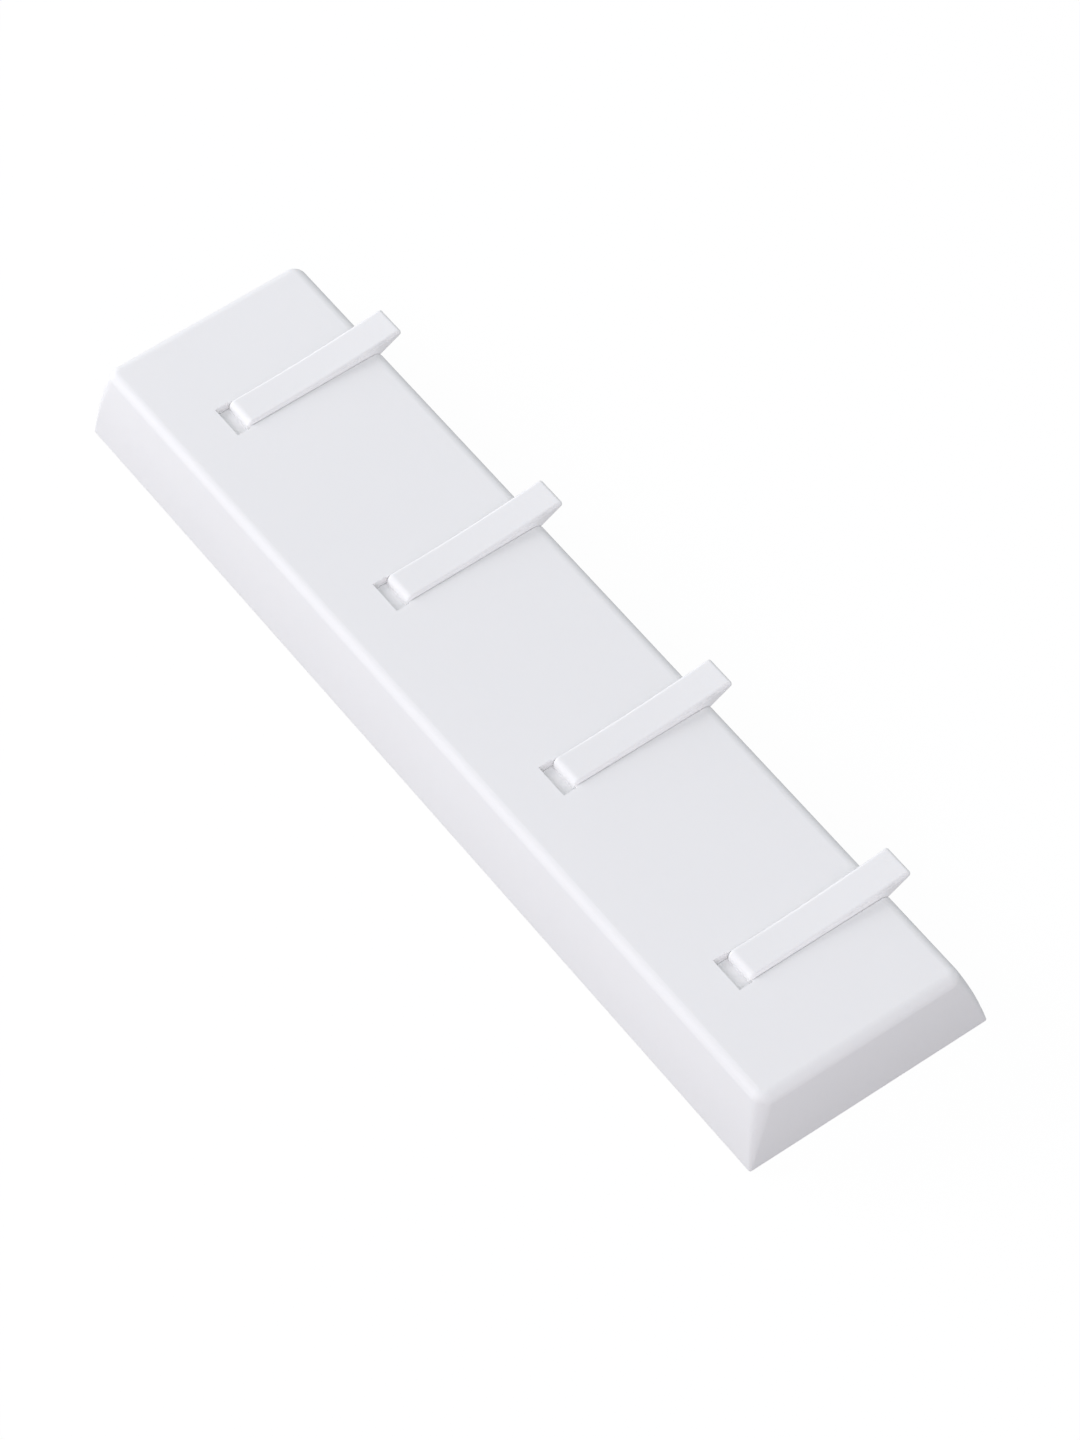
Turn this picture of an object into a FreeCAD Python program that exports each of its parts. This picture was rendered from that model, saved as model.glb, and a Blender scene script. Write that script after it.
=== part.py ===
import FreeCAD, Part
import math
import os

# A long, low wall rail with four hooks that lie flush in its face and swing out.
# Frame: origin at the centre of the flat back, X along the rail, +Y towards the hook tips,
# +Z out of the back towards the face. Millimetres.

# Rail: a shallow block whose back is larger than its face, with slightly convex sides.
RAIL_LENGTH = 300.0
RAIL_WIDTH = 73.6
RAIL_HEIGHT = 23.0
FACE_LENGTH = 296.2
FACE_WIDTH = 61.3
SIDE_BULGE = 0.6
END_BULGE = 0.42
FACE_EDGE_ROUND = 3.0
CORNER_ROUND_BACK = 0.6
CORNER_ROUND_FACE = 4.0
INSIDE_CORNER_ROUND = 0.5
WALL = 2.4
SIDE_INSET = 2.6

# Hooks: four, on one pitch, each on a pin that lies along X just under the face.
HOOK_COUNT = 4
HOOK_PITCH = 75.0
HOOK_WIDTH = 10.0
SLOT_WIDTH = 10.3
SLOT_START_Y = -15.3
HEEL_POCKET_WIDTH = 11.2
HEEL_POCKET_END_Y = -11.2
PIVOT_Y = -9.4
PIVOT_Z = RAIL_HEIGHT - 4.0
HEEL_RADIUS = 4.9
HEEL_FRONT_ROUND = 2.2
TOE_DEPTH = 1.9
TOE_REACH = 5.3
TOE_THICKNESS = 1.2
HOOK_REACH = 47.7
HOOK_RISE = 2.6
HOOK_THICKNESS = 4.3
HOOK_EDGE_ROUND = 0.9
UNDERSIDE_EDGE_ROUND = 0.35
ROOT_ROUND = 1.2
BEVEL_LENGTH = 7.4
TIP_THICKNESS = 1.4
TIP_CORNER_ROUND = 0.7

# Stop tail under the heel, which meets the channel's floor when the hook is fully out.
TAIL_FACE = -2.5
TAIL_THICKNESS = 2.5
TAIL_DEPTH = 8.0
TAIL_WIDTH = 6.0

# Channel that each hook lies in.
CHANNEL_DEPTH = 4.2
CHANNEL_WALL = 2.0
CHANNEL_START_Y = PIVOT_Y + 5.4

# Hinge pin, washers and cradle.
PIN_RADIUS = 1.25
PIN_RUNNING_GAP = 0.05
EAR_THICKNESS = 2.0
EAR_BOTTOM_Z = 14.6
EAR_TOP_GAP = 0.1
EAR_END_GAP = 0.4
CRADLE_WEB_THICKNESS = 1.8
CRADLE_WEB_GAP = 0.4
FLANGE_REACH = 8.0
FLANGE_THICKNESS = 2.0
FLANGE_HALF_DEPTH = 4.5
WASHER_RADIUS = 2.25
WASHER_SEAT_DEPTH = 1.3
WASHER_SEAT_GAP = 0.1
WASHER_EAR_GAP = 0.1

# Rest pad under each hook.
PAD_LENGTH = 5.0
PAD_WIDTH = 7.0
PAD_CENTRE_Y = 24.5
PAD_GAP = 0.2

# Back cover, in a rebate of the rail.
COVER_THICKNESS = 2.0
COVER_RIM = 2.1
COVER_GAP = 0.15
COVER_CORNER_ROUND = 1.0
COVER_SCREW_X = 138.0
COVER_SCREW_Y = 24.0
COVER_RIB_Y = 17.5
COVER_RIB_WIDTH = 1.5
COVER_RIB_HEIGHT = 3.0
COVER_RIB_LENGTH = 250.0

# Steel hanger plates with a keyhole each, let into the back cover.
HANGER_X = 75.0
HANGER_Y = 7.0
HANGER_LENGTH = 36.0
HANGER_WIDTH = 21.0
HANGER_THICKNESS = 1.2
HANGER_CORNER_ROUND = 2.0
HANGER_GAP = 0.15
HANGER_SCREW_OFFSET = 13.5
KEYHOLE_ENTRY_Y = 3.0
KEYHOLE_ENTRY_RADIUS = 4.2
KEYHOLE_SLOT_RADIUS = 2.2
KEYHOLE_TRAVEL = 8.5
WINDOW_MARGIN = 1.5

# Screws: shank and pilot radii, countersunk or pan heads with a cross recess.
COVER_SCREW = {"shank": 1.25, "pilot": 1.3, "head": 2.9, "head_height": 1.6, "length": 12.0}
HANGER_SCREW = {"shank": 0.95, "pilot": 1.0, "head": 2.0, "head_height": 1.0, "length": 5.2}
CRADLE_SCREW = {"shank": 1.0, "pilot": 1.05, "head": 2.4, "head_height": 1.4, "length": 6.0}
SCREW_HEAD_GAP = 0.05
SCREW_HOLE_GAP = 0.3
RECESS_WIDTH = 0.6
RECESS_SHARE = 0.6
BOSS_WALL = 1.9

# Heights and places that follow from the above.
FACE_UNDERSIDE_Z = RAIL_HEIGHT - WALL
CHANNEL_FLOOR_Z = RAIL_HEIGHT - CHANNEL_DEPTH
FLANGE_TOP_Z = EAR_BOTTOM_Z + FLANGE_THICKNESS
OVERCUT = 1.0

X_AXIS = FreeCAD.Vector(1, 0, 0)
Z_AXIS = FreeCAD.Vector(0, 0, 1)


def hook_x(index):
    """X of hook 0, 1, 2 ... from the rail's left end."""
    return (index - (HOOK_COUNT - 1) / 2) * HOOK_PITCH


def box(x_low, x_high, y_low, y_high, z_low, z_high):
    corner = FreeCAD.Vector(x_low, y_low, z_low)
    return Part.makeBox(x_high - x_low, y_high - y_low, z_high - z_low, corner)


def upright_cylinder(radius, x, y, z_low, z_high):
    return Part.makeCylinder(radius, z_high - z_low, FreeCAD.Vector(x, y, z_low), Z_AXIS)


def cross_cylinder(radius, x_low, x_high):
    """A cylinder along X on the pivot's axis."""
    start = FreeCAD.Vector(x_low, PIVOT_Y, PIVOT_Z)
    return Part.makeCylinder(radius, x_high - x_low, start, X_AXIS)


def rounded_rectangle(length, width, radius, z):
    """A level rectangle with round corners, centred on the Z axis."""
    arcs = []
    for quarter, (side_x, side_y) in enumerate([(1, 1), (-1, 1), (-1, -1), (1, -1)]):
        centre = FreeCAD.Vector(side_x * (length / 2 - radius), side_y * (width / 2 - radius), z)
        start = quarter * math.pi / 2
        arcs.append(Part.Circle(centre, Z_AXIS, radius).toShape(start, start + math.pi / 2))
    edges = []
    for arc, next_arc in zip(arcs, arcs[1:] + arcs[:1]):
        side = Part.LineSegment(arc.lastVertex().Point, next_arc.firstVertex().Point)
        edges += [arc, side.toShape()]
    return Part.Wire(edges)


def sloping_block(z_low, z_high, inset, rounds):
    """The rail's block between two heights, drawn in by inset, with its corner radii there."""
    sections = []
    for step in (0.0, 0.5, 1.0):
        z = z_low + (z_high - z_low) * step
        radius = rounds[0] + (rounds[1] - rounds[0]) * step
        share = z / RAIL_HEIGHT
        bow = 4 * share * (1 - share)
        length = RAIL_LENGTH + (FACE_LENGTH - RAIL_LENGTH) * share + 2 * (END_BULGE * bow - inset)
        width = RAIL_WIDTH + (FACE_WIDTH - RAIL_WIDTH) * share + 2 * (SIDE_BULGE * bow - inset)
        sections.append(rounded_rectangle(length, width, radius, z))
    return Part.makeLoft(sections, True, False)


def lies_at(edge, z):
    bounds = edge.BoundBox
    return abs(bounds.ZMin - z) < 1e-4 and abs(bounds.ZMax - z) < 1e-4


def rail_outside():
    block = sloping_block(0.0, RAIL_HEIGHT, 0.0, (CORNER_ROUND_BACK, CORNER_ROUND_FACE))
    face_edges = [edge for edge in block.Edges if lies_at(edge, RAIL_HEIGHT)]
    return block.makeFillet(FACE_EDGE_ROUND, face_edges).Solids[0]


def rail_hollow():
    rounds = (INSIDE_CORNER_ROUND, INSIDE_CORNER_ROUND)
    return sloping_block(-OVERCUT, FACE_UNDERSIDE_Z, SIDE_INSET, rounds)


def rounded_plate(length, width, radius, x, y, z_low, z_high):
    plate = box(x - length / 2, x + length / 2, y - width / 2, y + width / 2, z_low, z_high)
    uprights = [edge for edge in plate.Edges if edge.BoundBox.ZLength > (z_high - z_low) / 2]
    return plate.makeFillet(radius, uprights)


def cover_screw_places():
    return [(sx * COVER_SCREW_X, sy * COVER_SCREW_Y) for sx in (-1, 0, 1) for sy in (-1, 1)]


def hanger_screw_places():
    offsets = (-HANGER_SCREW_OFFSET, HANGER_SCREW_OFFSET)
    return [(side * HANGER_X + offset, HANGER_Y) for side in (-1, 1) for offset in offsets]


def cradle_screw_places(x):
    reach = SLOT_WIDTH / 2 + EAR_THICKNESS + FLANGE_REACH / 2
    return [(x - reach, PIVOT_Y), (x + reach, PIVOT_Y)]


def rail_shell():
    """The moulded shell: sides, face, channels, heel pockets, bosses, and the cover's rebate."""
    outside = rail_outside()
    shell = outside.cut(rail_hollow())
    shell = shell.cut(cover_outline(0.0, -OVERCUT, COVER_THICKNESS))
    added = []
    cuts = []
    channel_half = SLOT_WIDTH / 2
    block_half = channel_half + CHANNEL_WALL
    for index in range(HOOK_COUNT):
        x = hook_x(index)
        block_low = CHANNEL_FLOOR_Z - CHANNEL_WALL
        block = box(x - block_half, x + block_half, CHANNEL_START_Y, RAIL_WIDTH / 2, block_low,
                    FACE_UNDERSIDE_Z + OVERCUT)
        added.append(block.common(outside))
        cuts.append(box(x - channel_half, x + channel_half, SLOT_START_Y, RAIL_WIDTH / 2,
                        CHANNEL_FLOOR_Z, RAIL_HEIGHT + OVERCUT))
        pocket_half = HEEL_POCKET_WIDTH / 2
        cuts.append(box(x - pocket_half, x + pocket_half, SLOT_START_Y, HEEL_POCKET_END_Y,
                        RAIL_HEIGHT - TOE_DEPTH, RAIL_HEIGHT + OVERCUT))
        for screw_x, screw_y in cradle_screw_places(x):
            pilot = CRADLE_SCREW["pilot"]
            pilot_top = EAR_BOTTOM_Z + CRADLE_SCREW["length"] + OVERCUT / 2
            added.append(upright_cylinder(pilot + BOSS_WALL, screw_x, screw_y, FLANGE_TOP_Z,
                                          FACE_UNDERSIDE_Z + OVERCUT))
            cuts.append(upright_cylinder(pilot, screw_x, screw_y, FLANGE_TOP_Z, pilot_top))
    for screw_x, screw_y in cover_screw_places():
        pilot = COVER_SCREW["pilot"]
        added.append(upright_cylinder(pilot + BOSS_WALL, screw_x, screw_y, COVER_THICKNESS,
                                      FACE_UNDERSIDE_Z + OVERCUT))
        cuts.append(upright_cylinder(pilot, screw_x, screw_y, COVER_THICKNESS,
                                     COVER_SCREW["length"] + OVERCUT))
    shell = shell.fuse(added).removeSplitter()
    return shell.cut(cuts)


def cover_outline(gap, z_low, z_high):
    length = RAIL_LENGTH - 2 * COVER_RIM - 2 * gap
    width = RAIL_WIDTH - 2 * COVER_RIM - 2 * gap
    return rounded_plate(length, width, COVER_CORNER_ROUND, 0.0, 0.0, z_low, z_high)


def countersink(screw, x, y, gap, drop=0.0):
    """The cone of a countersunk head whose rim is flush with the back."""
    small = screw["shank"] + gap
    large = screw["head"] + gap
    base = FreeCAD.Vector(x, y, -drop)
    cone = Part.makeCone(large, small, screw["head_height"], FreeCAD.Vector(x, y, 0.0), Z_AXIS)
    if drop == 0.0:
        return cone
    return cone.fuse(Part.makeCylinder(large, drop, base, Z_AXIS))


def back_cover():
    """The flat cover: screw holes, ribs, and a rebate, window and bosses for each hanger plate."""
    cover = cover_outline(COVER_GAP, 0.0, COVER_THICKNESS)
    added = []
    cuts = []
    rib_top = COVER_THICKNESS + COVER_RIB_HEIGHT
    for side in (-1, 1):
        rib_y = side * COVER_RIB_Y
        added.append(box(-COVER_RIB_LENGTH / 2, COVER_RIB_LENGTH / 2, rib_y - COVER_RIB_WIDTH / 2,
                         rib_y + COVER_RIB_WIDTH / 2, COVER_THICKNESS, rib_top))
        x = side * HANGER_X
        cuts.append(rounded_plate(HANGER_LENGTH + 2 * HANGER_GAP, HANGER_WIDTH + 2 * HANGER_GAP,
                                  HANGER_CORNER_ROUND, x, HANGER_Y, -OVERCUT, HANGER_THICKNESS))
        half = KEYHOLE_ENTRY_RADIUS + WINDOW_MARGIN
        cuts.append(box(x - half, x + half, KEYHOLE_ENTRY_Y - half,
                        KEYHOLE_ENTRY_Y + KEYHOLE_TRAVEL + KEYHOLE_SLOT_RADIUS + WINDOW_MARGIN,
                        0.0, COVER_THICKNESS + OVERCUT))
    for x, y in hanger_screw_places():
        boss_top = HANGER_SCREW["length"] + BOSS_WALL
        pilot = HANGER_SCREW["pilot"]
        added.append(upright_cylinder(pilot + BOSS_WALL / 2, x, y, COVER_THICKNESS, boss_top))
        cuts.append(upright_cylinder(pilot, x, y, 0.0, HANGER_SCREW["length"] + OVERCUT / 2))
    for x, y in cover_screw_places():
        cuts.append(countersink(COVER_SCREW, x, y, SCREW_HEAD_GAP, OVERCUT))
        cuts.append(upright_cylinder(COVER_SCREW["shank"] + SCREW_HOLE_GAP, x, y, 0.0,
                                     COVER_THICKNESS + OVERCUT))
    return cover.fuse(added).removeSplitter().cut(cuts)


def hanger_plate(side):
    """A flat steel plate with a keyhole: a round entry with a narrow slot on its +Y side."""
    x = side * HANGER_X
    plate = rounded_plate(HANGER_LENGTH, HANGER_WIDTH, HANGER_CORNER_ROUND, x, HANGER_Y, 0.0,
                          HANGER_THICKNESS)
    top = HANGER_THICKNESS + OVERCUT
    slot_end = KEYHOLE_ENTRY_Y + KEYHOLE_TRAVEL
    cuts = [
        upright_cylinder(KEYHOLE_ENTRY_RADIUS, x, KEYHOLE_ENTRY_Y, -OVERCUT, top),
        upright_cylinder(KEYHOLE_SLOT_RADIUS, x, slot_end, -OVERCUT, top),
        box(x - KEYHOLE_SLOT_RADIUS, x + KEYHOLE_SLOT_RADIUS, KEYHOLE_ENTRY_Y, slot_end,
            -OVERCUT, top),
    ]
    for offset in (-HANGER_SCREW_OFFSET, HANGER_SCREW_OFFSET):
        cuts.append(countersink(HANGER_SCREW, x + offset, HANGER_Y, SCREW_HEAD_GAP, OVERCUT))
        cuts.append(upright_cylinder(HANGER_SCREW["shank"] + SCREW_HEAD_GAP, x + offset, HANGER_Y,
                                     0.0, top))
    return plate.cut(cuts)


def cross_recess(screw, x, y, z):
    """The cross cut into a screw head, from z upwards."""
    reach = screw["head"] * RECESS_SHARE
    depth = screw["head_height"] * RECESS_SHARE
    half = RECESS_WIDTH / 2
    bars = [
        box(x - reach, x + reach, y - half, y + half, z, z + depth),
        box(x - half, x + half, y - reach, y + reach, z, z + depth),
    ]
    return bars[0].fuse(bars[1])


def flush_screw(screw, x, y):
    shank = upright_cylinder(screw["shank"], x, y, screw["head_height"] / 2, screw["length"])
    solid = countersink(screw, x, y, 0.0).fuse(shank)
    return solid.cut(cross_recess(screw, x, y, 0.0)).removeSplitter()


def pan_screw(screw, x, y, seat_z):
    """A screw driven upwards, with its pan head under seat_z."""
    head_low = seat_z - screw["head_height"]
    head = upright_cylinder(screw["head"], x, y, head_low, seat_z)
    rim = [edge for edge in head.Edges if lies_at(edge, head_low)]
    head = head.makeFillet(screw["head_height"] / 2, rim)
    shank = upright_cylinder(screw["shank"], x, y, seat_z, seat_z + screw["length"])
    return head.fuse(shank).cut(cross_recess(screw, x, y, head_low)).removeSplitter()


def hook_point(along, up):
    """A point of the hook's side outline, measured from the pivot."""
    return FreeCAD.Vector(0.0, PIVOT_Y + along, PIVOT_Z + up)


def front_radius():
    """The front is an arc that leaves the heel level and rises by HOOK_RISE at the tip."""
    return (HOOK_REACH ** 2 + HOOK_RISE ** 2) / (2 * HOOK_RISE)


def arc_height(radius, level, along):
    """Height above the pivot of an arc that is lowest, at level, straight above the pivot."""
    return level + radius - math.sqrt(radius ** 2 - along ** 2)


def underside_height(along):
    radius = front_radius() + HOOK_THICKNESS
    return arc_height(radius, HEEL_RADIUS - HOOK_THICKNESS, along)


def hook_outline():
    """Side outline: heel with a flat front, gently rising front and underside, bevelled tip."""
    front = front_radius()
    under = front + HOOK_THICKNESS
    centre_up = HEEL_RADIUS + front

    # Root round, tangent to the heel and to the underside.
    round_up = (centre_up ** 2 - (under + ROOT_ROUND) ** 2
                + (HEEL_RADIUS + ROOT_ROUND) ** 2) / (2 * centre_up)
    round_along = math.sqrt((HEEL_RADIUS + ROOT_ROUND) ** 2 - round_up ** 2)
    on_heel = HEEL_RADIUS / (HEEL_RADIUS + ROOT_ROUND)
    heel_end = hook_point(round_along * on_heel, round_up * on_heel)
    on_under = under / (under + ROOT_ROUND)
    under_start = hook_point(round_along * on_under,
                             centre_up + (round_up - centre_up) * on_under)
    chord = FreeCAD.Vector(heel_end).add(under_start).multiply(0.5)
    round_centre = hook_point(round_along, round_up)
    towards = chord.sub(round_centre).normalize().multiply(ROOT_ROUND)
    round_middle = round_centre.add(towards)

    tip_up = HEEL_RADIUS + HOOK_RISE
    tip_top = hook_point(HOOK_REACH, tip_up)
    tip_low = hook_point(HOOK_REACH, tip_up - TIP_THICKNESS)
    bevel_along = HOOK_REACH - BEVEL_LENGTH
    bevel_start = hook_point(bevel_along, underside_height(bevel_along))
    middle = (bevel_along + round_along) / 2
    under_middle = hook_point(middle, underside_height(middle))
    heel_top = hook_point(0.0, HEEL_RADIUS)
    heel_shoulder = hook_point(-HEEL_FRONT_ROUND * math.sin(math.pi / 4),
                               HEEL_RADIUS - HEEL_FRONT_ROUND * (1 - math.cos(math.pi / 4)))
    heel_front = hook_point(-HEEL_FRONT_ROUND, HEEL_RADIUS - HEEL_FRONT_ROUND)
    heel_low = hook_point(-HEEL_FRONT_ROUND, -math.sqrt(HEEL_RADIUS ** 2 - HEEL_FRONT_ROUND ** 2))
    heel_bottom = hook_point(0.0, -HEEL_RADIUS)
    front_middle = hook_point(HOOK_REACH / 2, arc_height(front, HEEL_RADIUS, HOOK_REACH / 2))
    edges = [
        Part.Arc(heel_top, heel_shoulder, heel_front).toShape(),
        Part.LineSegment(heel_front, heel_low).toShape(),
        Part.Arc(heel_low, heel_bottom, heel_end).toShape(),
        Part.Arc(heel_end, round_middle, under_start).toShape(),
        Part.Arc(under_start, under_middle, bevel_start).toShape(),
        Part.LineSegment(bevel_start, tip_low).toShape(),
        Part.LineSegment(tip_low, tip_top).toShape(),
        Part.Arc(tip_top, front_middle, heel_top).toShape(),
    ]
    return Part.Wire(edges)


def edge_middle(edge):
    """Middle of an edge, measured from the pivot as (across, along, up)."""
    point = edge.valueAt((edge.FirstParameter + edge.LastParameter) / 2)
    return point.x, point.y - PIVOT_Y, point.z - PIVOT_Z


def is_front_edge(edge):
    """Long edges of the front and of the heel's round and flat front, on the hook's two sides."""
    across, along, up = edge_middle(edge)
    on_side = edge.BoundBox.XLength < 1e-4 and abs(abs(across) - HOOK_WIDTH / 2) < 1e-4
    on_front = along > 0 and up > HEEL_RADIUS
    on_heel = along < 0 and up > -HEEL_FRONT_ROUND
    return on_side and (on_front or on_heel)


def is_underside_edge(edge):
    across, along, up = edge_middle(edge)
    on_side = edge.BoundBox.XLength < 1e-4 and abs(abs(across) - HOOK_WIDTH / 2) < 1e-4
    below_front = up < arc_height(front_radius(), HEEL_RADIUS, along) - TIP_THICKNESS / 2
    return on_side and along > HEEL_RADIUS + ROOT_ROUND and below_front and not is_tip_side(edge)


def is_tip_side(edge):
    """The two short upright edges at the tip's corners."""
    across, along, up = edge_middle(edge)
    return abs(along - HOOK_REACH) < 1e-4 and edge.BoundBox.XLength < 1e-4


def hook_toe():
    """The low toe in front of the heel, which fills the heel pocket and is pressed to open."""
    half = HOOK_WIDTH / 2
    top = RAIL_HEIGHT - TOE_DEPTH
    lower = box(-half, half, PIVOT_Y - HEEL_RADIUS, PIVOT_Y, PIVOT_Z - HEEL_RADIUS, top)
    nose = box(-half, half, PIVOT_Y - TOE_REACH, PIVOT_Y, top - TOE_THICKNESS, top)
    return cross_cylinder(HEEL_RADIUS, -half, half).common(lower).fuse(nose)


def hook():
    """A hook centred on X = 0: outline, rounded edges, toe, stop tail, bore and washer seats."""
    half = HOOK_WIDTH / 2
    body = Part.Face(hook_outline()).extrude(X_AXIS * HOOK_WIDTH)
    body.translate(X_AXIS * -half)
    body = body.makeFillet(TIP_CORNER_ROUND, [edge for edge in body.Edges if is_tip_side(edge)])
    body = body.makeFillet(HOOK_EDGE_ROUND, [edge for edge in body.Edges if is_front_edge(edge)])
    lower = [edge for edge in body.Edges if is_underside_edge(edge)]
    body = body.makeFillet(UNDERSIDE_EDGE_ROUND, lower)
    tail = box(-TAIL_WIDTH / 2, TAIL_WIDTH / 2, PIVOT_Y + TAIL_FACE - TAIL_THICKNESS,
               PIVOT_Y + TAIL_FACE, PIVOT_Z - TAIL_DEPTH, PIVOT_Z)
    body = body.fuse([hook_toe(), tail]).removeSplitter()
    seat = WASHER_RADIUS + WASHER_SEAT_GAP
    return body.cut([
        cross_cylinder(PIN_RADIUS + PIN_RUNNING_GAP, -half - OVERCUT, half + OVERCUT),
        cross_cylinder(seat, -half - OVERCUT, -half + WASHER_SEAT_DEPTH),
        cross_cylinder(seat, half - WASHER_SEAT_DEPTH, half + OVERCUT),
    ])


def friction_washers():
    """Two washers, one each side of the heel, between its seats and the cradle's ears."""
    inner = HOOK_WIDTH / 2 - WASHER_SEAT_DEPTH
    outer = SLOT_WIDTH / 2 - WASHER_EAR_GAP
    washers = []
    for low, high in ((-outer, -inner), (inner, outer)):
        disc = cross_cylinder(WASHER_RADIUS, low, high)
        washers.append(disc.cut(cross_cylinder(PIN_RADIUS + PIN_RUNNING_GAP, low, high)))
    return Part.makeCompound(washers)


def hinge_pin():
    half = SLOT_WIDTH / 2 + EAR_THICKNESS
    pin = cross_cylinder(PIN_RADIUS, -half, half)
    ends = [edge for edge in pin.Edges if edge.BoundBox.XLength < 1e-4]
    return pin.makeChamfer(PIN_RADIUS / 5, ends)


def pin_cradle():
    """Two ears with open saddles that trap the pin under the face, a web, and screw flanges."""
    inner = SLOT_WIDTH / 2
    outer = inner + EAR_THICKNESS
    top = FACE_UNDERSIDE_Z - EAR_TOP_GAP
    web_high = SLOT_START_Y - CRADLE_WEB_GAP
    web_low = web_high - CRADLE_WEB_THICKNESS
    ear_end = CHANNEL_START_Y - EAR_END_GAP
    reach = outer + FLANGE_REACH
    parts = [
        box(inner, outer, web_low, ear_end, EAR_BOTTOM_Z, top),
        box(-inner, inner, web_low, web_high, EAR_BOTTOM_Z, top),
        box(outer, reach, PIVOT_Y - FLANGE_HALF_DEPTH, PIVOT_Y + FLANGE_HALF_DEPTH, EAR_BOTTOM_Z,
            FLANGE_TOP_Z),
        box(-reach, -outer, PIVOT_Y - FLANGE_HALF_DEPTH, PIVOT_Y + FLANGE_HALF_DEPTH,
            EAR_BOTTOM_Z, FLANGE_TOP_Z),
    ]
    cradle = box(-outer, -inner, web_low, ear_end, EAR_BOTTOM_Z, top).fuse(parts)
    cradle = cradle.removeSplitter()
    cuts = [
        cross_cylinder(PIN_RADIUS, -outer - OVERCUT, outer + OVERCUT),
        box(-outer - OVERCUT, outer + OVERCUT, PIVOT_Y - PIN_RADIUS, PIVOT_Y + PIN_RADIUS,
            PIVOT_Z, top + OVERCUT),
    ]
    for x, y in cradle_screw_places(0.0):
        cuts.append(upright_cylinder(CRADLE_SCREW["shank"] + SCREW_HOLE_GAP, x, y,
                                     EAR_BOTTOM_Z - OVERCUT, FLANGE_TOP_Z + OVERCUT))
    return cradle.cut(cuts)


def rest_pad():
    """A soft pad on the channel's floor, just under the closed hook."""
    low = PAD_CENTRE_Y - PAD_LENGTH / 2
    top = PIVOT_Z + underside_height(low - PIVOT_Y) - PAD_GAP
    pad = box(-PAD_WIDTH / 2, PAD_WIDTH / 2, low, low + PAD_LENGTH, CHANNEL_FLOOR_Z, top)
    upper = [edge for edge in pad.Edges if lies_at(edge, top)]
    return pad.makeFillet((top - CHANNEL_FLOOR_Z) / 4, upper)


def placed(shape, x):
    copy = shape.copy()
    copy.translate(X_AXIS * x)
    return copy


def all_parts():
    nodes = {
        "rail_shell": rail_shell(),
        "back_cover": back_cover(),
        "hanger_plate_left": hanger_plate(-1),
        "hanger_plate_right": hanger_plate(1),
    }
    nodes["cover_screws"] = Part.makeCompound(
        [flush_screw(COVER_SCREW, x, y) for x, y in cover_screw_places()])
    nodes["hanger_screws"] = Part.makeCompound(
        [flush_screw(HANGER_SCREW, x, y) for x, y in hanger_screw_places()])
    repeated = {
        "hook": hook(),
        "friction_washers": friction_washers(),
        "hinge_pin": hinge_pin(),
        "pin_cradle": pin_cradle(),
        "rest_pad": rest_pad(),
    }
    cradle_screws = []
    for index in range(HOOK_COUNT):
        x = hook_x(index)
        for name, shape in repeated.items():
            nodes[f"{name}_{index + 1}"] = placed(shape, x)
        for screw_x, screw_y in cradle_screw_places(x):
            cradle_screws.append(pan_screw(CRADLE_SCREW, screw_x, screw_y, EAR_BOTTOM_Z))
    nodes["cradle_screws"] = Part.makeCompound(cradle_screws)
    return nodes


os.makedirs("parts", exist_ok=True)
for node, shape in all_parts().items():
    for solid in shape.Solids:
        if not solid.isValid():
            raise ValueError(f"{node} has a solid that isn't valid")
    shape.exportStep(f"parts/{node}.step")
    print(node, len(shape.Solids), "solids", round(shape.Volume, 1), "mm3")
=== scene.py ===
import math

import bmesh
import bpy
from mathutils import Matrix, Vector


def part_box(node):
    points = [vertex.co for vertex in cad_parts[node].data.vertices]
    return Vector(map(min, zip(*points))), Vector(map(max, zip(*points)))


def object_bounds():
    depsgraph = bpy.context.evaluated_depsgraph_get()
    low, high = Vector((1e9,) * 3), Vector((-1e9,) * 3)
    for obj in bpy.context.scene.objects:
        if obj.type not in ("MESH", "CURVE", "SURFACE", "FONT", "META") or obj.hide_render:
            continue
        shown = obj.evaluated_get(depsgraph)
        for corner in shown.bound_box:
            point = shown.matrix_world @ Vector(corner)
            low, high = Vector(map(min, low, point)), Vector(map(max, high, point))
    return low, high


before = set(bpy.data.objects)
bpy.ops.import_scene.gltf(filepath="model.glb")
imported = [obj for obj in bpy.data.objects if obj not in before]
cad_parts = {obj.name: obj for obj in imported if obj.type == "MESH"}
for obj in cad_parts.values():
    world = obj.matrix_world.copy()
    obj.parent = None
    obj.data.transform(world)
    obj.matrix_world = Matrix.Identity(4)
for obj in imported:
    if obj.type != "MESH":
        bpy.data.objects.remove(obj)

cad_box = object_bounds()

# Height of the rail's face.
FACE_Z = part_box("rail_shell")[1].z

# Camera: where its axis meets the face, and the direction, distance, tilt and lens.
AIM = Vector((0.0199, -0.0063, FACE_Z))
AZIMUTH = 59.7
ELEVATION = 53.1
DISTANCE = 1.518
ROLL = math.radians(-6.16)
LENS = 148.6
SENSOR_WIDTH = 36.0

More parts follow.
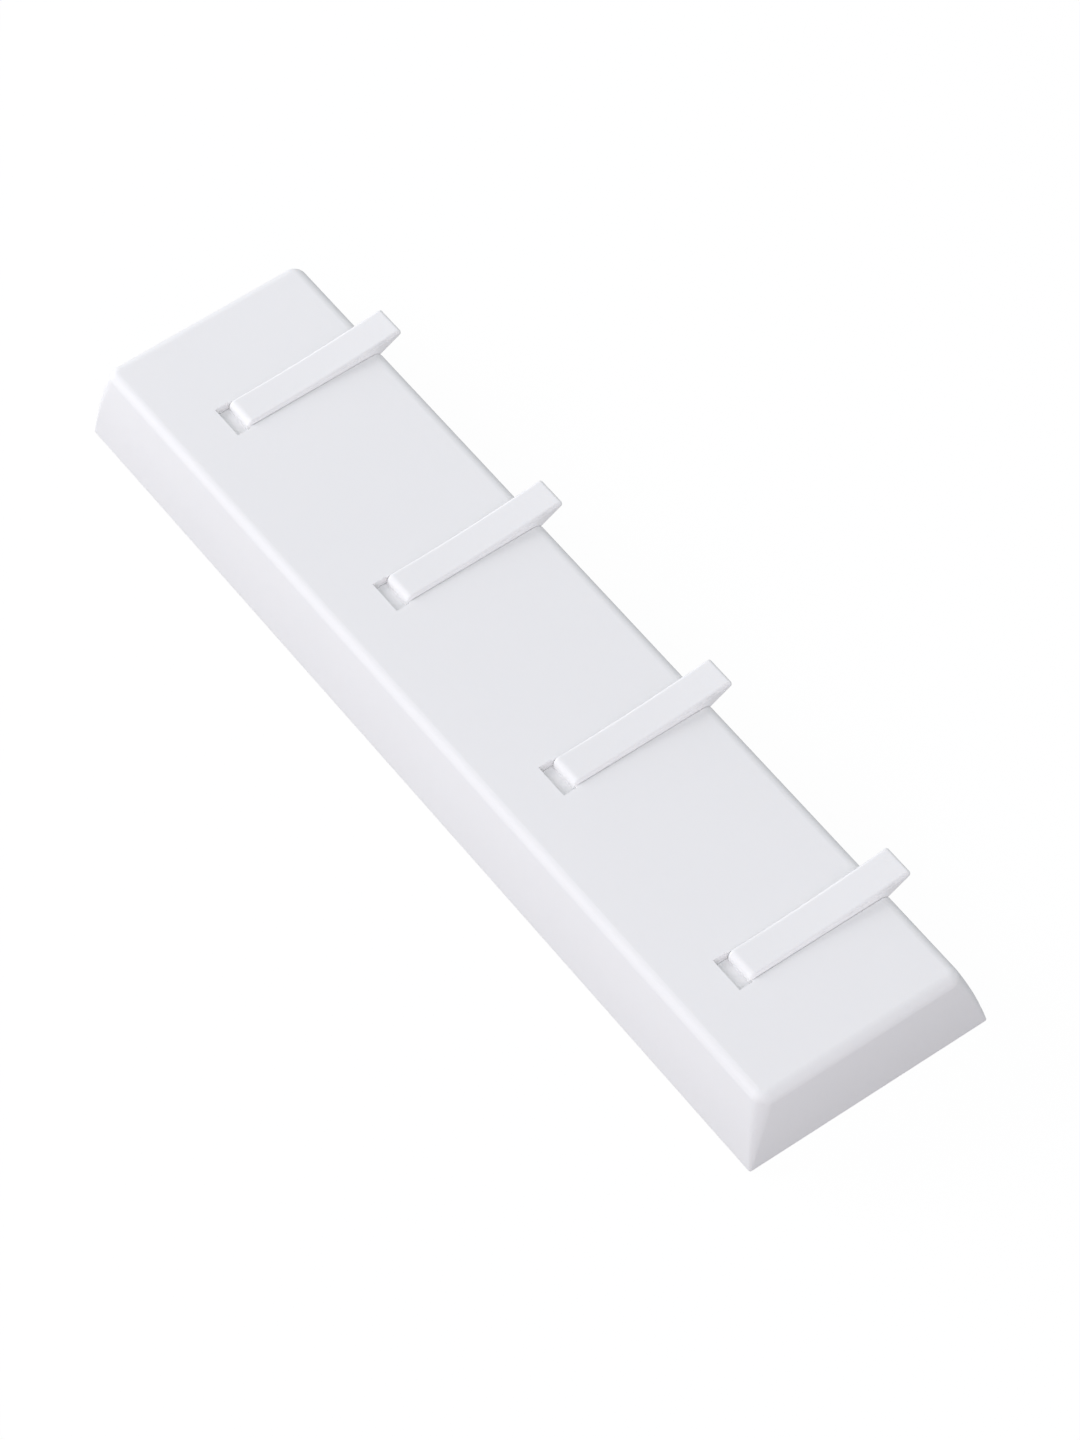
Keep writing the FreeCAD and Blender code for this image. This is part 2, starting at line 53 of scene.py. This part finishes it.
# Light: an even sky and large softboxes, each with its direction in degrees, power and tint.
WORLD_STRENGTH = 0.50
WORLD_COLOUR = (0.955, 1.0, 1.04, 1.0)
SOFTBOX_SIZE = 1.4
SOFTBOX_DISTANCE = 1.8
SOFTBOXES = {
    "left": {"azimuth": -60, "elevation": 20, "watts": 24.2, "colour": (1.0, 0.98, 1.02)},
    "right": {"azimuth": 60, "elevation": 30, "watts": 11.5, "colour": (1.03, 0.95, 1.02)},
    "behind": {"azimuth": 180, "elevation": 30, "watts": 3.5, "colour": (1.03, 0.99, 1.0)},
}

# Floor: just under the back. It looks white to the camera, but passes on little light.
FLOOR_HALF = 6.0
FLOOR_GAP = 0.0003
FLOOR_GREY = (0.35, 0.35, 0.35)
FLOOR_GLOW = 1.095
FLOOR_GLOW_SHARE = 0.88

# Most of a noise texture's values lie between these two.
NOISE_LOW = 0.3
NOISE_HIGH = 0.7


def direction(azimuth, elevation):
    """Unit vector towards a place seen at these angles in degrees: azimuth 0 is -Y, 90 is +X."""
    turn = math.radians(azimuth)
    rise = math.radians(elevation)
    flat = math.cos(rise)
    return Vector((math.sin(turn) * flat, -math.cos(turn) * flat, math.sin(rise)))


def shaded(colour, share):
    """The colour at this share of its brightness."""
    return tuple(channel * share for channel in colour)


def make_camera():
    back = direction(AZIMUTH, ELEVATION)
    data = bpy.data.cameras.new("camera")
    data.lens = LENS
    data.sensor_width = SENSOR_WIDTH
    data.sensor_fit = "AUTO"
    camera = bpy.data.objects.new("camera", data)
    level = back.to_track_quat("Z", "Y").to_matrix().to_4x4()
    place = Matrix.Translation(AIM + back * DISTANCE)
    camera.matrix_world = place @ level @ Matrix.Rotation(ROLL, 4, "Z")
    bpy.context.scene.collection.objects.link(camera)
    bpy.context.scene.camera = camera


def make_softbox(name, azimuth, elevation, watts, colour):
    """A large square light that faces the object."""
    data = bpy.data.lights.new(name, "AREA")
    data.shape = "SQUARE"
    data.size = SOFTBOX_SIZE
    data.energy = watts
    data.color = colour
    light = bpy.data.objects.new(name, data)
    light.visible_camera = False
    towards = direction(azimuth, elevation)
    turned = towards.to_track_quat("Z", "Y").to_matrix().to_4x4()
    light.matrix_world = Matrix.Translation(towards * SOFTBOX_DISTANCE) @ turned
    bpy.context.scene.collection.objects.link(light)


def make_world():
    world = bpy.data.worlds.new("studio")
    bpy.context.scene.world = world
    world.use_nodes = True
    background = world.node_tree.nodes["Background"]
    background.inputs["Color"].default_value = WORLD_COLOUR
    background.inputs["Strength"].default_value = WORLD_STRENGTH


class Nodes:
    """A material's node tree, with short calls to add and join nodes."""

    def __init__(self, name):
        self.material = bpy.data.materials.new(name)
        self.material.use_nodes = True
        self.tree = self.material.node_tree
        self.shader = self.tree.nodes["Principled BSDF"]
        coordinates = self.tree.nodes.new("ShaderNodeTexCoord")
        self.place = coordinates.outputs["Object"]

    def add(self, kind, **settings):
        node = self.tree.nodes.new(kind)
        for key, value in settings.items():
            setattr(node, key, value)
        return node

    def join(self, output, socket):
        self.tree.links.new(output, socket)

    def noise(self, scale, detail=3.0, roughness=0.55, stretch=(1, 1, 1)):
        mapping = self.add("ShaderNodeMapping")
        mapping.inputs["Scale"].default_value = stretch
        self.join(self.place, mapping.inputs["Vector"])
        node = self.add("ShaderNodeTexNoise")
        node.inputs["Scale"].default_value = scale
        node.inputs["Detail"].default_value = detail
        node.inputs["Roughness"].default_value = roughness
        self.join(mapping.outputs["Vector"], node.inputs["Vector"])
        return node.outputs["Fac"]

    def ramp(self, value, low, high):
        """Colour that runs from low to high as a noise's value rises."""
        node = self.add("ShaderNodeValToRGB")
        first, last = node.color_ramp.elements
        first.position = NOISE_LOW
        last.position = NOISE_HIGH
        first.color = (*low, 1.0)
        last.color = (*high, 1.0)
        self.join(value, node.inputs["Fac"])
        return node.outputs["Color"]

    def spread(self, value, low, high):
        """Number that runs from low to high as a noise's value rises."""
        node = self.add("ShaderNodeMapRange")
        node.inputs["From Min"].default_value = NOISE_LOW
        node.inputs["From Max"].default_value = NOISE_HIGH
        node.inputs["To Min"].default_value = low
        node.inputs["To Max"].default_value = high
        self.join(value, node.inputs["Value"])
        return node.outputs["Result"]

    def bump(self, height, strength, distance, under=None):
        node = self.add("ShaderNodeBump")
        node.inputs["Strength"].default_value = strength
        node.inputs["Distance"].default_value = distance
        self.join(height, node.inputs["Height"])
        if under is not None:
            self.join(under, node.inputs["Normal"])
        return node.outputs["Normal"]


def moulded_plastic(name, colour, roughness, grain):
    """White moulded plastic: a fine spark-eroded grain over a slow, faint waviness."""
    nodes = Nodes(name)
    shader = nodes.shader
    tint = nodes.ramp(nodes.noise(scale=14.0, detail=2.0), low=shaded(colour, 0.985), high=colour)
    nodes.join(tint, shader.inputs["Base Color"])
    patches = nodes.noise(scale=420.0, detail=3.0)
    gloss = nodes.spread(patches, low=roughness - 0.05, high=roughness + 0.05)
    nodes.join(gloss, shader.inputs["Roughness"])
    waves = nodes.noise(scale=60.0, detail=1.0)
    waviness = nodes.bump(waves, strength=0.12, distance=0.0002)
    fine = nodes.noise(scale=3200.0, detail=2.0, roughness=0.6)
    surface = nodes.bump(fine, strength=grain, distance=0.00004, under=waviness)
    nodes.join(surface, shader.inputs["Normal"])
    shader.inputs["IOR"].default_value = 1.5
    shader.inputs["Specular IOR Level"].default_value = 0.35
    shader.inputs["Subsurface Weight"].default_value = 0.15
    shader.inputs["Subsurface Radius"].default_value = (1.0, 0.95, 0.9)
    shader.inputs["Subsurface Scale"].default_value = 0.0012
    return nodes.material


def plated_steel(name, colour, roughness):
    """Zinc-plated or ground steel: brushed along X, with a faintly blotched plating."""
    nodes = Nodes(name)
    shader = nodes.shader
    tint = nodes.ramp(nodes.noise(scale=180.0, detail=4.0), low=shaded(colour, 0.82), high=colour)
    nodes.join(tint, shader.inputs["Base Color"])
    lines = nodes.noise(scale=900.0, detail=3.0, stretch=(0.06, 1.0, 1.0))
    gloss = nodes.spread(lines, low=roughness - 0.08, high=roughness + 0.1)
    nodes.join(gloss, shader.inputs["Roughness"])
    nodes.join(nodes.bump(lines, strength=0.25, distance=0.00003), shader.inputs["Normal"])
    shader.inputs["Metallic"].default_value = 1.0
    return nodes.material


def soft_silicone(name, colour):
    """Matt, slightly mottled silicone that lets a little light in."""
    nodes = Nodes(name)
    shader = nodes.shader
    tint = nodes.ramp(nodes.noise(scale=250.0), low=shaded(colour, 0.95), high=colour)
    nodes.join(tint, shader.inputs["Base Color"])
    gloss = nodes.spread(nodes.noise(scale=700.0), low=0.55, high=0.7)
    nodes.join(gloss, shader.inputs["Roughness"])
    grain = nodes.bump(nodes.noise(scale=1500.0), strength=0.2, distance=0.00003)
    nodes.join(grain, shader.inputs["Normal"])
    shader.inputs["Subsurface Weight"].default_value = 0.15
    shader.inputs["Subsurface Scale"].default_value = 0.001
    return nodes.material


def floor_material():
    """Pale paper that the camera sees as white, with a faint shadow where something touches it."""
    nodes = Nodes("floor_white")
    shader = nodes.shader
    tint = nodes.ramp(nodes.noise(scale=3.0), low=shaded(FLOOR_GREY, 0.97), high=FLOOR_GREY)
    nodes.join(tint, shader.inputs["Base Color"])
    shader.inputs["Roughness"].default_value = 0.9
    shader.inputs["Specular IOR Level"].default_value = 0.1
    glow = nodes.add("ShaderNodeEmission")
    glow.inputs["Strength"].default_value = FLOOR_GLOW
    share = nodes.add("ShaderNodeMath", operation="MULTIPLY")
    share.inputs[1].default_value = FLOOR_GLOW_SHARE
    nodes.join(nodes.add("ShaderNodeLightPath").outputs["Is Camera Ray"], share.inputs[0])
    mixed = nodes.add("ShaderNodeMixShader")
    nodes.join(share.outputs["Value"], mixed.inputs["Fac"])
    nodes.join(shader.outputs["BSDF"], mixed.inputs[1])
    nodes.join(glow.outputs["Emission"], mixed.inputs[2])
    nodes.join(mixed.outputs["Shader"], nodes.tree.nodes["Material Output"].inputs["Surface"])
    return nodes.material


def make_floor():
    mesh = bpy.data.meshes.new("floor")
    surface = bmesh.new()
    low = cad_box[0][2] - FLOOR_GAP
    sides = ((-1, -1), (1, -1), (1, 1), (-1, 1))
    corners = [surface.verts.new((x * FLOOR_HALF, y * FLOOR_HALF, low)) for x, y in sides]
    surface.faces.new(corners)
    surface.to_mesh(mesh)
    surface.free()
    floor = bpy.data.objects.new("floor", mesh)
    floor.data.materials.append(floor_material())
    bpy.context.scene.collection.objects.link(floor)


def paint(prefix, material):
    """Gives a material to every CAD node whose name starts with prefix."""
    for name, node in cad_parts.items():
        if name.startswith(prefix):
            node.data.materials.clear()
            node.data.materials.append(material)


make_camera()
make_world()
for softbox, settings in SOFTBOXES.items():
    make_softbox(softbox, **settings)
make_floor()

paint("rail_shell", moulded_plastic("rail_plastic", (0.905, 0.905, 0.905), roughness=0.6, grain=0.12))
paint("hook_", moulded_plastic("hook_plastic", (0.91, 0.91, 0.91), roughness=0.52, grain=0.08))
paint("back_cover", moulded_plastic("cover_plastic", (0.82, 0.82, 0.825), roughness=0.55, grain=0.4))
paint("pin_cradle", moulded_plastic("cradle_plastic", (0.86, 0.86, 0.865), roughness=0.5, grain=0.3))
paint("friction_washers", moulded_plastic("washer_nylon", (0.72, 0.71, 0.66), roughness=0.45, grain=0.1))
plated = plated_steel("plated_steel", (0.62, 0.63, 0.65), roughness=0.32)
for prefix in ("hanger_", "cover_screws", "cradle_screws"):
    paint(prefix, plated)
paint("hinge_pin", plated_steel("ground_steel", (0.66, 0.67, 0.69), roughness=0.25))
paint("rest_pad", soft_silicone("pad_silicone", (0.72, 0.73, 0.75)))

bpy.context.scene.view_settings.view_transform = "Standard"
